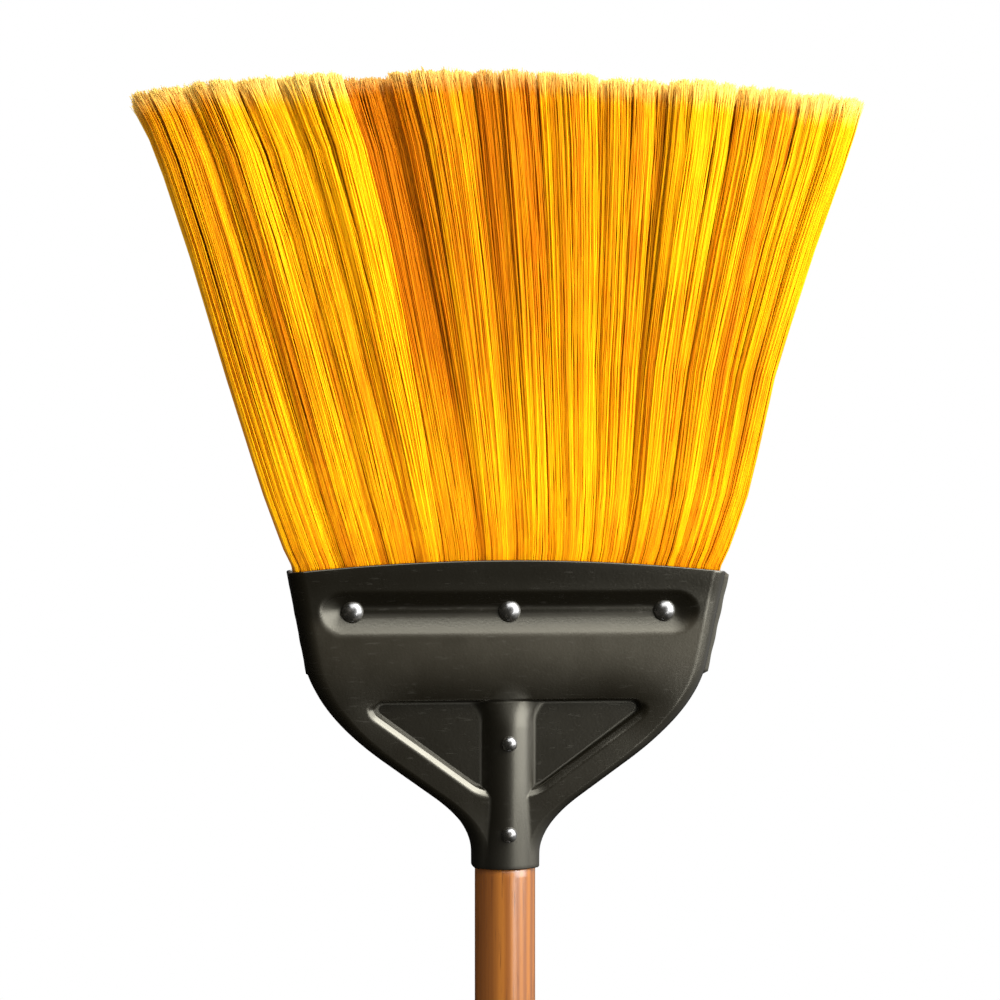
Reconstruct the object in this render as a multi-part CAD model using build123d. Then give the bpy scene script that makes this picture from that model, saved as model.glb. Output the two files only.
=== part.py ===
from build123d import *
import os
from math import cos, hypot, radians, sqrt, tan

# Upright broom with a pressed steel cap, modelled bristles up, in millimetres.
# The origin is the middle of the handle's free end and +Z runs up the handle to the
# bristle tips. X runs across the broom and -Y is its front.
# Heights of the head's pieces are measured from the lower edge of the cap's collar.

# Handle: a turned wooden pole with a rounded free end and a tenon in the cap's socket
HANDLE_DIAMETER = 25.4
HANDLE_LENGTH = 1219.0
HANDLE_END_ROUND = 10.0
TENON_LENGTH = 66.0
TENON_RELIEF = 0.3
TENON_CHAMFER = 3.0

# Cap: two mirrored shells pressed from sheet, like two shallow pans mouth to mouth
SHEET = 1.2
SOCKET_CLEARANCE = 0.3
CAP_HEIGHT = 127.5
MOUTH_WIDTH = 182.0
MOUTH_ARCH = 5.0
MOUTH_DEPTH = 40.0
COLLAR_DEPTH = 17.0
SHOULDER_WIDTH = 160.0
SHOULDER_HEIGHT = 64.7
SHOULDER_ROUND = 40.0
NECK_HEIGHT = 17.3
NECK_ROUND = 27.0
EDGE_ROUND = 6.0
RIDGE_OVERLAP = 4.0

# Clamp groove: the long pocket pressed across each shell that grips the bristle butt
GROOVE_BELOW_MOUTH = 20.5
GROOVE_FLOOR_HEIGHT = 9.6
GROOVE_DEPTH = 4.0
GROOVE_END_MARGIN = 14.2
GROOVE_WALL_ANGLE = 50.0

# Web recess: the sunk field on each side of the socket ridge
RECESS_TOP = 69.1
RECESS_BOTTOM = 32.9
RECESS_FLOOR_DEPTH = 9.2
RECESS_BORDER = 17.6
RECESS_TOE = 0.6
RECESS_CORNER = 3.0
RECESS_WALL_ANGLE = 25.0

# Side seams: the front shell's flange lies in a hem folded round from the rear shell
SEAM_FLANGE = 1.4
SEAM_CLEARANCE = 0.05
SEAM_BELOW_MOUTH = 1.5
SEAM_END_ABOVE_SHOULDER = 15.0

# Rivets: domed heads front and back on a plain shank
CLAMP_RIVET_END_MARGIN = 8.8
CLAMP_RIVET_SHANK = 4.4
CLAMP_RIVET_HEAD = 9.0
CLAMP_RIVET_DOME = 3.0
HANDLE_RIVET_LOW = 14.3
HANDLE_RIVET_HIGH = 52.0
HANDLE_RIVET_SHANK = 3.6
HANDLE_RIVET_HEAD = 6.5
HANDLE_RIVET_DOME = 2.2
RIVET_HOLE_CLEARANCE = 0.1

# Bristles: two rows of tufts that fan out from the butt, trimmed to a shallow arch
TUFTS_PER_ROW = 12
BRISTLE_EXPOSED = 202.0
TIP_WIDTH = 304.0
TIP_ARCH = 11.6
TIP_DEPTH = 56.0
BULGE_OVERHANG = 2.8
BULGE_ABOVE_MOUTH = 6.0
FLARE_ABOVE_MOUTH = 1.6
TUFT_GAP = 0.8
TUFT_END_CLEARANCE = 0.5

# Bristle flex: the tufts lean about one line a little above the mouth
FLEX_ABOVE_MOUTH = 12.5
FLEX_LIP_CLEARANCE = 0.5
FLEX_SEAT_CLEARANCE = 0.3

# Butt: the fused roots of the bristles, held between the two clamp grooves
BUTT_BOTTOM = 84.0
BUTT_GRIP_CLEARANCE = 0.2
BUTT_LIP_CLEARANCE = 1.5
BUTT_WALL_CLEARANCE = 1.5
BUTT_END_CLEARANCE = 3.5

# Cutting tools run this far past the faces that they open
OVERRUN = 12.0

handle_radius = HANDLE_DIAMETER / 2
collar_height = HANDLE_LENGTH - TENON_LENGTH
tenon_radius = handle_radius - TENON_RELIEF
bore_radius = tenon_radius + SOCKET_CLEARANCE
socket_radius = bore_radius + SHEET
corner_height = CAP_HEIGHT - MOUTH_ARCH
groove_height = CAP_HEIGHT - GROOVE_BELOW_MOUTH
flank_lean = (MOUTH_WIDTH - SHOULDER_WIDTH) / 2 / (corner_height - SHOULDER_HEIGHT)
face_lean = (MOUTH_DEPTH - COLLAR_DEPTH) / 2 / CAP_HEIGHT


def flank(height):
    """Half the pan's width on its straight flank."""
    return SHOULDER_WIDTH / 2 + flank_lean * (height - SHOULDER_HEIGHT)


def pan_depth(height):
    """Half the pan's depth, from the seam plane to the pressed face."""
    return COLLAR_DEPTH / 2 + face_lean * height


groove_floor = pan_depth(groove_height) - GROOVE_DEPTH
groove_half = flank(groove_height) - GROOVE_END_MARGIN
lip_depth = pan_depth(CAP_HEIGHT) - SHEET
bulge_half = MOUTH_WIDTH / 2 + BULGE_OVERHANG
flex_height = CAP_HEIGHT + FLEX_ABOVE_MOUTH
flex_radius = hypot(lip_depth, FLEX_ABOVE_MOUTH) - FLEX_LIP_CLEARANCE
tip_height = CAP_HEIGHT + BRISTLE_EXPOSED


def pan_outline(overrun):
    """Front outline of the pan, run on past the collar and the mouth by overrun."""
    top = corner_height + overrun
    right = FilletPolyline(
        (socket_radius, -overrun),
        (socket_radius, NECK_HEIGHT),
        (SHOULDER_WIDTH / 2, SHOULDER_HEIGHT),
        (flank(top), top),
        radius=[NECK_ROUND, SHOULDER_ROUND],
    )
    left = mirror(right, Plane.YZ)
    mouth = ThreePointArc((flank(top), top), (0, top + MOUTH_ARCH), (-flank(top), top))
    collar = Line((-socket_radius, -overrun), (socket_radius, -overrun))
    return make_face([*right.edges(), mouth, *left.edges(), collar])


def pan(outline, inset, edge_round):
    """The outline given depth: leaning front and back faces with rounded rims."""
    low, high = -2 * OVERRUN, CAP_HEIGHT + 2 * OVERRUN
    depth_low, depth_high = pan_depth(low) - inset, pan_depth(high) - inset
    side_view = Polygon(
        (-depth_low, low), (depth_low, low), (depth_high, high), (-depth_high, high), align=None
    )
    blank = extrude(Plane.XZ * outline, MOUTH_DEPTH, both=True)
    blank &= extrude(Plane.YZ * side_view, MOUTH_WIDTH, both=True)
    faces = blank.faces().sort_by(Axis.Y)
    rims = [e for f in (faces[0], faces[-1]) for e in f.edges() if abs(e.center().X) > SHEET]
    return fillet(rims, edge_round)


def pressed_pocket(floor, depth, wall_angle):
    """What a punch with sloping sides takes from the front face, and from the back face too."""
    punch = extrude(Plane.XZ.offset(depth) * floor, OVERRUN, taper=-wall_angle)
    return [punch, mirror(punch, Plane.XZ)]


def growth(inset, wall_angle):
    """How much wider a pocket's floor is on the sheet's inner side, for an even wall."""
    return inset * (1 / cos(radians(wall_angle)) - tan(radians(wall_angle)))


def groove_pocket(inset):
    grow = growth(inset, GROOVE_WALL_ANGLE)
    floor = Pos(0, groove_height) * SlotOverall(2 * (groove_half + grow), GROOVE_FLOOR_HEIGHT + 2 * grow)
    return pressed_pocket(floor, groove_floor - inset, GROOVE_WALL_ANGLE)


def recess_pocket(inset):
    top = SHOULDER_WIDTH / 2 - RECESS_BORDER
    toe = sqrt(socket_radius**2 - RECESS_FLOOR_DEPTH**2) + RECESS_TOE
    field = Polygon(
        (-toe, RECESS_BOTTOM), (toe, RECESS_BOTTOM), (top, RECESS_TOP), (-top, RECESS_TOP), align=None
    )
    field = fillet(field.vertices(), RECESS_CORNER)
    if inset:
        field = offset(field, growth(inset, RECESS_WALL_ANGLE))
    return pressed_pocket(field, RECESS_FLOOR_DEPTH - inset, RECESS_WALL_ANGLE)


def upright_cylinder(radius, low, high):
    return Pos(0, 0, low) * Cylinder(radius, high - low, align=(Align.CENTER, Align.CENTER, Align.MIN))


def cross_hole(diameter, x, height):
    """A drill right through the head from front to back."""
    return Pos(x, 0, height) * Rot(90, 0, 0) * Cylinder(diameter / 2, 2 * MOUTH_DEPTH)


def clamp_rivet_places():
    pitch = groove_half - CLAMP_RIVET_END_MARGIN
    return {"left": -pitch, "middle": 0.0, "right": pitch}


def handle_rivet_places():
    return {"lower": HANDLE_RIVET_LOW, "upper": HANDLE_RIVET_HIGH}


def clamp_holes():
    size = CLAMP_RIVET_SHANK + 2 * RIVET_HOLE_CLEARANCE
    return [cross_hole(size, x, groove_height) for x in clamp_rivet_places().values()]


def handle_holes():
    size = HANDLE_RIVET_SHANK + 2 * RIVET_HOLE_CLEARANCE
    return [cross_hole(size, 0, height) for height in handle_rivet_places().values()]


def cap_pressing():
    """Both shells in one: sheet of even thickness, open at the mouth and the collar."""
    ridge_top = RECESS_TOP + RIDGE_OVERLAP
    outside = pan(pan_outline(0), 0, EDGE_ROUND) - groove_pocket(0) - recess_pocket(0)
    outside += upright_cylinder(socket_radius, 0, ridge_top)
    inner_outline = offset(pan_outline(OVERRUN), -SHEET)
    inside = pan(inner_outline, SHEET, EDGE_ROUND - SHEET)
    inside -= [*groove_pocket(SHEET), *recess_pocket(SHEET)]
    inside += upright_cylinder(bore_radius, -OVERRUN, ridge_top)
    return outside - inside - clamp_holes() - handle_holes()


def seam_strip(width_from, width_to, depth_from, depth_to):
    """A strip along both flanks, given by its section: out from the wall, and in depth."""
    low = SHOULDER_HEIGHT + SEAM_END_ABOVE_SHOULDER
    high = corner_height - SEAM_BELOW_MOUTH
    wall = flank(low)
    section = Polygon(
        (wall + width_from, depth_from),
        (wall + width_to, depth_from),
        (wall + width_to, depth_to),
        (wall + width_from, depth_to),
        align=None,
    )
    run = Vector(flank_lean, 0, 1)
    strip = extrude(Pos(0, 0, low) * section, (high - low) * run.length, dir=run)
    return [strip, mirror(strip, Plane.YZ)]


def half_of(pressing, side):
    """The front half (side -1) or the rear half (side 1) of the pressing."""
    room = Box(2 * MOUTH_WIDTH, MOUTH_DEPTH, 4 * CAP_HEIGHT)
    return pressing & Pos(0, side * MOUTH_DEPTH / 2, 0) * room


def front_shell(pressing):
    return half_of(pressing, -1) + seam_strip(-SHEET / 2, SEAM_FLANGE, -SHEET, 0)


def rear_shell(pressing):
    gap = SEAM_CLEARANCE
    bend = SEAM_FLANGE + gap
    shell = half_of(pressing, 1) + seam_strip(-SHEET / 2, bend + SHEET, 0, SHEET)
    shell += seam_strip(bend, bend + SHEET, -2 * SHEET - gap, SHEET)
    return shell + seam_strip(gap, bend + SHEET, -2 * SHEET - gap, -SHEET - gap)


def rivet(grip, shank, head, dome):
    """A rivet along Y: grip is the distance between the undersides of its two heads."""
    seat = grip / 2
    half = [
        Line((0, 0), (shank / 2, 0)),
        Line((shank / 2, 0), (shank / 2, seat)),
        Line((shank / 2, seat), (head / 2, seat)),
        TangentArc((0, seat + dome), (head / 2, seat), tangent=(1, 0)),
        Line((0, seat + dome), (0, 0)),
    ]
    front_and_back = revolve(make_face(half), Axis.Y)
    return front_and_back + mirror(front_and_back, Plane.XZ)


def clamp_rivet(x):
    body = rivet(2 * groove_floor, CLAMP_RIVET_SHANK, CLAMP_RIVET_HEAD, CLAMP_RIVET_DOME)
    return Pos(x, 0, groove_height) * body


def handle_rivet(height):
    body = rivet(2 * socket_radius, HANDLE_RIVET_SHANK, HANDLE_RIVET_HEAD, HANDLE_RIVET_DOME)
    return Pos(0, 0, height) * body


def handle():
    pole = upright_cylinder(handle_radius, -collar_height, 0)
    pole = fillet(pole.edges().group_by(Axis.Z)[0], HANDLE_END_ROUND)
    tenon = upright_cylinder(tenon_radius, 0, TENON_LENGTH)
    tenon = chamfer(tenon.edges().group_by(Axis.Z)[-1], TENON_CHAMFER)
    return pole + tenon - handle_holes()


def flex_arc_height(depth, radius):
    """Height of the rounded seat, which is a cylinder about the flex line."""
    return flex_height - sqrt(radius**2 - depth**2)


def butt():
    """Fused bristle roots: a bar between the grooves that spreads out to the mouth."""
    grip = groove_floor - SHEET - BUTT_GRIP_CLEARANCE
    spread = lip_depth - BUTT_LIP_CLEARANCE
    slope = tan(radians(GROOVE_WALL_ANGLE))
    seat_radius = flex_radius + FLEX_SEAT_CLEARANCE
    groove_rim = GROOVE_FLOOR_HEIGHT / 2 + growth(SHEET, GROOVE_WALL_ANGLE)
    spread_low = groove_height + groove_rim + BUTT_WALL_CLEARANCE
    spread_high = spread_low + (spread - grip) * slope
    edge_height = flex_arc_height(spread, seat_radius)
    right = Polyline(
        (0, BUTT_BOTTOM),
        (grip, BUTT_BOTTOM),
        (grip, spread_low),
        (spread, spread_high),
        (spread, edge_height),
    )
    seat = ThreePointArc(
        (spread, edge_height),
        (0, flex_arc_height(0, seat_radius)),
        (-spread, edge_height),
    )
    side_view = make_face([*right.edges(), seat, *mirror(right, Plane.YZ).edges()])
    bottom, top = flank(BUTT_BOTTOM), flank(CAP_HEIGHT)
    inset = SHEET + BUTT_END_CLEARANCE
    front_view = Polygon(
        (-bottom + inset, BUTT_BOTTOM),
        (bottom - inset, BUTT_BOTTOM),
        (top - inset, CAP_HEIGHT),
        (-top + inset, CAP_HEIGHT),
        align=None,
    )
    bar = extrude(Plane.YZ * side_view, MOUTH_WIDTH, both=True)
    return (bar & extrude(Plane.XZ * front_view, MOUTH_DEPTH, both=True)) - clamp_holes()


def tuft_side_view():
    """Side view of the front row: flat at the middle, leaning out, rounded about the flex line."""
    middle = TUFT_GAP / 2
    lean = (TIP_DEPTH / 2 - flex_radius) / (tip_height - flex_height)
    top = tip_height + OVERRUN
    top_depth = flex_radius + lean * (top - flex_height)
    between = (middle + flex_radius) / 2
    outline = Polyline(
        (-middle, flex_arc_height(middle, flex_radius)),
        (-middle, top),
        (-top_depth, top),
        (-flex_radius, flex_height),
    )
    seat = ThreePointArc(
        (-flex_radius, flex_height),
        (-between, flex_arc_height(between, flex_radius)),
        (-middle, flex_arc_height(middle, flex_radius)),
    )
    return make_face([*outline.edges(), seat])


def fan_edge(share, inward):
    """One side of a tuft from root to tip, at a share of the fan's half width from the middle."""
    bottom = flex_height - flex_radius
    root_half = flank(bottom) - SHEET - TUFT_END_CLEARANCE
    tip = tip_height - TIP_ARCH * share**2
    bulge = CAP_HEIGHT + BULGE_ABOVE_MOUTH
    spread = (TIP_WIDTH / 2 - bulge_half) / (tip_height - TIP_ARCH - bulge)
    widths = [
        (bottom - OVERRUN, root_half),
        (CAP_HEIGHT + FLARE_ABOVE_MOUTH, root_half),
        (bulge, bulge_half),
        (tip, bulge_half + spread * (tip - bulge)),
    ]
    return [(share * half + inward * TUFT_GAP / 2, height) for height, half in widths]


def tuft_front_view(column):
    """Front view of one column: it bulges over the lip, fans out and is trimmed along an arch."""
    left = fan_edge(2 * column / TUFTS_PER_ROW - 1, 1)
    right = fan_edge(2 * (column + 1) / TUFTS_PER_ROW - 1, -1)
    return Polygon(*left, *reversed(right), align=None)


def tufts():
    """Every tuft by name, front and rear, counted from the left as seen from the front."""
    row = extrude(Plane.YZ * tuft_side_view(), TIP_WIDTH, both=True)
    made = {}
    for column in range(TUFTS_PER_ROW):
        wedge = extrude(Plane.XZ * tuft_front_view(column), TIP_DEPTH, both=True)
        front = row & wedge
        made[f"front_tuft_{column + 1:02d}"] = front
        made[f"rear_tuft_{column + 1:02d}"] = mirror(front, Plane.XZ)
    return made


def pieces():
    pressing = cap_pressing()
    made = {
        "handle": handle(),
        "front_shell": front_shell(pressing),
        "rear_shell": rear_shell(pressing),
        "bristle_butt": butt(),
    }
    for name, x in clamp_rivet_places().items():
        made[f"clamp_rivet_{name}"] = clamp_rivet(x)
    for name, height in handle_rivet_places().items():
        made[f"handle_rivet_{name}"] = handle_rivet(height)
    return made | tufts()


os.makedirs("parts", exist_ok=True)
for name, piece in pieces().items():
    export_step(Pos(0, 0, collar_height) * piece, f"parts/{name}.step")
print(f"bristle flex line {collar_height + flex_height:.3f} mm up, seat radius {flex_radius:.3f} mm")
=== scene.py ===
import bpy
import numpy as np
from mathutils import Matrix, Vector


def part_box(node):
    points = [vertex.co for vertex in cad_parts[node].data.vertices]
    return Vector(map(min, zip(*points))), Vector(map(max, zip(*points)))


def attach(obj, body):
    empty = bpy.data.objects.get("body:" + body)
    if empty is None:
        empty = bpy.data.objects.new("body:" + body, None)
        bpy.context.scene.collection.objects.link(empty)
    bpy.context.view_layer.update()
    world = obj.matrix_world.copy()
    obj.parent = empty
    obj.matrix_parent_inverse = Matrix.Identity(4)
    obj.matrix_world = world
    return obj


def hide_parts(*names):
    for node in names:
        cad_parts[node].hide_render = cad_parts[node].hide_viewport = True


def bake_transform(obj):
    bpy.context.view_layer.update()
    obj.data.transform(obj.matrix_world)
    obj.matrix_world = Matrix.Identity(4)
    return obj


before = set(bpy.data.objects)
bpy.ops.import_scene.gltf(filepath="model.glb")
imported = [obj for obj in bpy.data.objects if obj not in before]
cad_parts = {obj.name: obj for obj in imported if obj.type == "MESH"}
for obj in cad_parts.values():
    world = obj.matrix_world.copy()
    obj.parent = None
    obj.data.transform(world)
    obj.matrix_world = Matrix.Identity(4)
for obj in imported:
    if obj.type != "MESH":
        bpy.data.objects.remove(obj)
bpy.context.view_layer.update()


# Handle: a straight hardwood pole, turned round, sanded and varnished. Its free end is rounded over
# and its upper end is a tenon that stands in the cap's socket.
MM = 0.001
HANDLE_RADIUS = 12.7
TENON_RADIUS = 12.4
TENON_CHAMFER = 3.0
END_ROUND = 10.0
POLE_SIDES = 72
SANDING = 0.0022
POLE_PAST_COLLAR = 0.6
TENON_PAST_COLLAR = 0.8
handle_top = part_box("handle")[1].z / MM
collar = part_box("front_shell")[0].z / MM


def add(name, data):
    """A new object in the scene that holds that mesh, lamp or camera."""
    made = bpy.data.objects.new(name, data)
    bpy.context.scene.collection.objects.link(made)
    return made


def solid(name, points, faces):
    """A smooth-shaded object from points in millimetres and faces that list them."""
    mesh = bpy.data.meshes.new(name)
    mesh.from_pydata(points.reshape(-1, 3) * MM, [], faces, shade_flat=False)
    return add(name, mesh)


def skin(name, points, ring=False, ends=False):
    """A mesh over a grid of points: four neighbours make a face, ring joins the last column to the
    first, and ends closes the first and the last row with one face each."""
    rows, columns = points.shape[:2]
    index = np.arange(rows * columns).reshape(rows, columns)
    beside = np.roll(index, -1, axis=1)
    used = slice(None) if ring else slice(None, -1)
    faces = np.stack([index[:-1, used], beside[:-1, used], beside[1:, used], index[1:, used]], -1)
    faces = faces.reshape(-1, 4).tolist()
    if ends:
        faces += [index[0, ::-1].tolist(), index[-1].tolist()]
    return solid(name, points, faces)


def turned(radii, heights, sides):
    """A lathe's work: each radius at its height, carried round the vertical axis in even steps."""
    angle = np.linspace(0, 2 * np.pi, sides, endpoint=False)
    ring = np.stack([np.cos(angle), np.sin(angle), np.zeros(sides)], -1)
    return radii[:, None, None] * ring + heights[:, None, None] * np.array([0.0, 0.0, 1.0])


def handle_points():
    """The pole's profile is a quarter circle at the free end, a straight run and a slimmer tenon with a
    chamfer. Sanding makes the radius waver along and around the pole, as the sum of two slow sines."""
    quarter = np.linspace(0.06, np.pi / 2, 12)
    run = np.linspace(END_ROUND, collar + POLE_PAST_COLLAR, 240)[1:]
    tenon = np.array([collar + TENON_PAST_COLLAR, handle_top - TENON_CHAMFER, handle_top])
    end_radii = HANDLE_RADIUS - END_ROUND + END_ROUND * np.sin(quarter)
    tenon_radii = TENON_RADIUS - np.array([0, 0, TENON_CHAMFER])
    radii = np.concatenate([end_radii, np.full(run.size, HANDLE_RADIUS), tenon_radii])
    heights = np.concatenate([END_ROUND * (1 - np.cos(quarter)), run, tenon])
    points = turned(radii, heights, POLE_SIDES)
    angle, along = np.linspace(0, 2 * np.pi, POLE_SIDES, endpoint=False), heights[:, None]
    waver = np.sin(3 * angle + along * 0.021) + np.sin(2 * angle - along * 0.013)
    points[..., :2] *= (1 + SANDING * waver * (along < collar))[..., None]
    return points


class Value:
    """A socket in a finish's node tree. Arithmetic on it adds a Math node and gives that node's result."""

    def __init__(self, finish, socket):
        self.finish = finish
        self.socket = socket

    def math(self, operation, *operands):
        """The result of a Math node that works on the operands."""
        return self.finish.node("ShaderNodeMath", {"operation": operation}, dict(enumerate(operands)))

    def __add__(self, other):
        return self.math("ADD", self, other)

    def __sub__(self, other):
        return self.math("SUBTRACT", self, other)

    def __rsub__(self, other):
        return self.math("SUBTRACT", other, self)

    def __mul__(self, other):
        return self.math("MULTIPLY", self, other)

    __radd__ = __add__

    def wave(self):
        """A sine of this value, brought to the range from 0 to 1."""
        return self.math("SINE", self) * 0.5 + 0.5

    def ramp(self, low, high):
        """0 below low, 1 above high and a smooth step between them."""
        sockets = {"Value": self, "From Min": low, "From Max": high}
        return self.finish.node("ShaderNodeMapRange", {"interpolation_type": "SMOOTHSTEP"}, sockets)


class Finish:
    """The nodes of a material, or of the studio's world, round its one shader."""

    def __init__(self, owner, shader="Principled BSDF"):
        self.owner = owner
        self.owner.use_nodes = True
        self.tree = self.owner.node_tree
        self.shader = self.tree.nodes[shader]

    def plug(self, made, sockets):
        """Links each value to the node's input of that name, or sets the input where it is a plain number."""
        for key, value in sockets.items():
            if isinstance(value, Value):
                self.tree.links.new(value.socket, made.inputs[key])
            else:
                made.inputs[key].default_value = value

    def node(self, kind, settings, sockets, output=0):
        """A node of that kind with its settings and then its sockets filled in, as one of its outputs."""
        made = self.tree.nodes.new(kind)
        for key, value in settings.items():
            setattr(made, key, value)
        self.plug(made, sockets)
        return Value(self, made.outputs[output])

    def parts(self, vector):
        """The x, y and z of a vector."""
        first = self.node("ShaderNodeSeparateXYZ", {}, {0: vector})
        return [Value(self, output) for output in first.socket.node.outputs]

    def marks(self, name):
        """The three numbers that the mesh keeps at each vertex under that name."""
        return self.parts(self.node("ShaderNodeAttribute", {"attribute_name": name}, {}, "Vector"))

    def place(self, scale):
        """The piece's own coordinates, stretched by scale."""
        where = self.node("ShaderNodeTexCoord", {}, {}, "Object")
        return self.node("ShaderNodeMapping", {}, {"Vector": where, "Scale": scale})

    def noise(self, scale, detail=3.0, roughness=0.55):
        """Soft random spots, so many to the metre along each axis."""
        sockets = {"Vector": self.place(scale), "Scale": 1.0, "Detail": detail, "Roughness": roughness}
        return self.node("ShaderNodeTexNoise", {}, sockets)

    def mix(self, share, first, second):
        """The first colour where share is 0 and the second where it is 1."""
        return self.node("ShaderNodeMix", {"data_type": "RGBA"}, {0: share, 6: first, 7: second}, 2)

    def bump(self, height, distance, strength):
        """A normal that leans as if the surface rose by height times distance."""
        sockets = {"Height": height, "Distance": distance, "Strength": strength}
        return self.node("ShaderNodeBump", {}, sockets)

    def coat(self, piece):
        """Makes this the piece's one material."""
        piece.data.materials.clear()
        piece.data.materials.append(self.owner)


def varnished_wood():
    """Growth rings are planes a few millimetres apart that waver along the pole; fine streaks and short
    dark pores run with them, under a satin coat that carries nearly all the shine."""
    wood = Finish(bpy.data.materials.new("varnished_wood"))
    across, deep, _ = wood.parts(wood.node("ShaderNodeTexCoord", {}, {}, "Object"))
    drift = wood.noise((26.0, 26.0, 2.6), 2.0)
    rings = ((across * 0.82 + deep * 0.57) * 1500.0 + drift * 15.0).wave()
    streak = wood.noise((700.0, 700.0, 9.0), 4.0)
    pores = wood.noise((1500.0, 1500.0, 45.0), 2.0).ramp(0.60, 0.72)
    blotch = wood.noise((40.0, 40.0, 7.0), 2.0)
    grain = (rings * 0.45 + streak * 0.75 + blotch * 0.35 - 0.28).ramp(0.0, 1.0)
    colour = wood.mix(grain, (0.330, 0.112, 0.011, 1), (0.170, 0.048, 0.005, 1))
    colour = wood.mix(pores * 0.55, colour, (0.10, 0.026, 0.004, 1))
    wood.plug(wood.shader, {
        "Base Color": colour,
        "Roughness": streak * 0.12 + 0.34,
        "Specular IOR Level": 0.1,
        "Coat Weight": 1.0,
        "Coat IOR": 1.7,
        "Coat Roughness": 0.27,
        "Normal": wood.bump(grain * 0.4 - pores, 0.0002, 0.35),
    })
    return wood


handle = skin("handle_pole", handle_points(), ring=True, ends=True)
varnished_wood().coat(handle)
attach(handle, "broom")
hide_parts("handle")


# Cap shells: two mirrored pressings of steel sheet under black stoving enamel, mouth up. A long channel
# across each grips the bristle roots, a sunk field lies on each side of the socket ridge, and a folded
# hem closes each flank. Heights are measured from the collar's lower edge.
SHEET = 1.2
CAP_HEIGHT = 127.5
MOUTH_ARCH = 5.0
MOUTH_HALF = 91.0
MOUTH_DEPTH = 20.0
LIP_FLARE = 1.0
LIP_FLARE_RANGE = (CAP_HEIGHT - 13.0, CAP_HEIGHT + 3.0)
ARCH_RANGE = (0.55, 1.0)
SHOULDER_HALF = 80.0
SHOULDER_HEIGHT = 64.7
SHOULDER_ROUND = 25.0
NECK_HEIGHT = 17.3
NECK_ROUND = 17.0
COLLAR_DEPTH = 8.5
COLLAR_FULLNESS = 1.6
COLLAR_FULL_RANGE = (20.0, 58.0)
EDGE_ROUND = 6.0
SOCKET_RADIUS = 13.9
SOCKET_SWELL = 0.08
SOCKET_SWELL_HEIGHT = 36.0
RIDGE_DRAW_IN = 0.11
RIDGE_DRAW_IN_RANGE = (58.0, 73.0)
RIDGE_BROADENING = 0.28
RIDGE_BROAD_FROM = 60.0
RIDGE_BROAD_RUN = 9.1
RIDGE_FILLET = 0.5
RIDGE_TOP_FILLET = 1.5
RIDGE_FILLET_RANGE = (60.0, 71.0)
RIDGE_END_RANGE = (76.0, 90.0)
RIDGE_REACH = 6.0
CHANNEL_HEIGHT = 107.3
CHANNEL_HALF = 68.0
CHANNEL_DEPTH = 3.1
CHANNEL_ABOVE = 7.8
CHANNEL_BELOW = 10.2
CHANNEL_END = 10.4
CHANNEL_FLOOR = 0.13
CHANNEL_ROUND = 0.16
CHANNEL_STEEPNESS = 1.15
FIELD_FLOOR = 9.2
FIELD_TOE = (10.7, 32.9)
FIELD_TIP = (60.2, 69.1)
FIELD_ROUND = 2.6
FIELD_TOE_ROUND = 3.0
FIELD_WALL = 0.9
FIELD_FILLET = 1.0
BEVEL_WIDTH = 2.4
BEVEL_DROP = 1.44
BEVEL_FILLET = 0.5
BEVEL_END_RANGE = (FIELD_TIP[1] - 2.6, FIELD_TIP[1] + 0.4)
ROLL_HEIGHT = 24.0
ROLL_DROP = 2.2
ROLL_START_RANGE = (FIELD_TIP[1] - 20, FIELD_TIP[1])
ROLL_ON_RIDGE = 0.7
ROLL_DEEPEN_RANGE = (3.0, 42.0)
ROLL_END_RANGE = (FIELD_TIP[0] - 24, FIELD_TIP[0] + 10)
ROW_SHARE = [0.0, 0.1, 0.55, 0.66, 0.94, 1.0]
ROW_HEIGHT = [0.0, 27.0, 73.0, 94.0, 121.0, CAP_HEIGHT]
# Where the enamel's pale mix goes, as dusty paint and as painted light and shade: ranges for the sunk parts,
# the web, the lip above the channel and the ridge, and a side painted lighter to the right.
DUST_AND_SHADE_LEVEL_RANGE = (0.3, 2.6)
PAINTED_LIGHT_ON_WEB = 0.12
PAINTED_LIGHT_PANEL_RANGE = (68.0, 94.0)
PAINTED_SHADOW_TOP_RANGE = (99.0, 107.0)
DUST_AND_SHADE_OFF_RIDGE_RANGE = (1.005, 1.04)
PAINTED_LIGHT_AT_MIDDLE = 0.92
PAINTED_LIGHT_TO_RIGHT = 0.28
WEAR_RADIUS = 0.9
RIDGE_DULL = 0.15
RIDGE_DULL_RANGE = (1.0, 1.02)
COLLAR_DULL = 0.35
COLLAR_DULL_RANGE = (4.0, 30.0)
HEM_FOOT = 79.4
HEM_LENGTH = 43.0
HEM_HALF_WIDTH = 1.75
HEM_HALF_DEPTH = 1.85
HEM_FORWARD = 2.0
HEM_SQUARENESS = 0.4
HEM_PROUD = 1.3
HEM_PROUD_MORE = 1.5
HEM_FLUSH = -1.5
HEM_WAVER = 0.12
HEM_WAVES = 23.0
HEM_END_RUN = 0.02
HEM_END_LEAST = 0.02
HEM_DULL = 0.8


def softer_least(first, second, width):
    """The smaller of two values, with the corner between them rounded over that width."""
    share = np.clip(0.5 + 0.5 * (second - first) / width, 0, 1)
    return second * (1 - share) + first * share - width * share * (1 - share)


def softer_most(first, second, width):
    """The larger of two values, with the corner between them rounded over that width."""
    return -softer_least(-first, -second, width)


def step(value, low, high):
    """0 below low, 1 above high and a smooth step between them."""
    share = np.clip((value - low) / (high - low), 0, 1)
    return share * share * (3 - 2 * share)


def unit(vectors):
    """The same directions, each of length 1."""
    return vectors / np.linalg.norm(vectors, axis=-1, keepdims=True)


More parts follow.
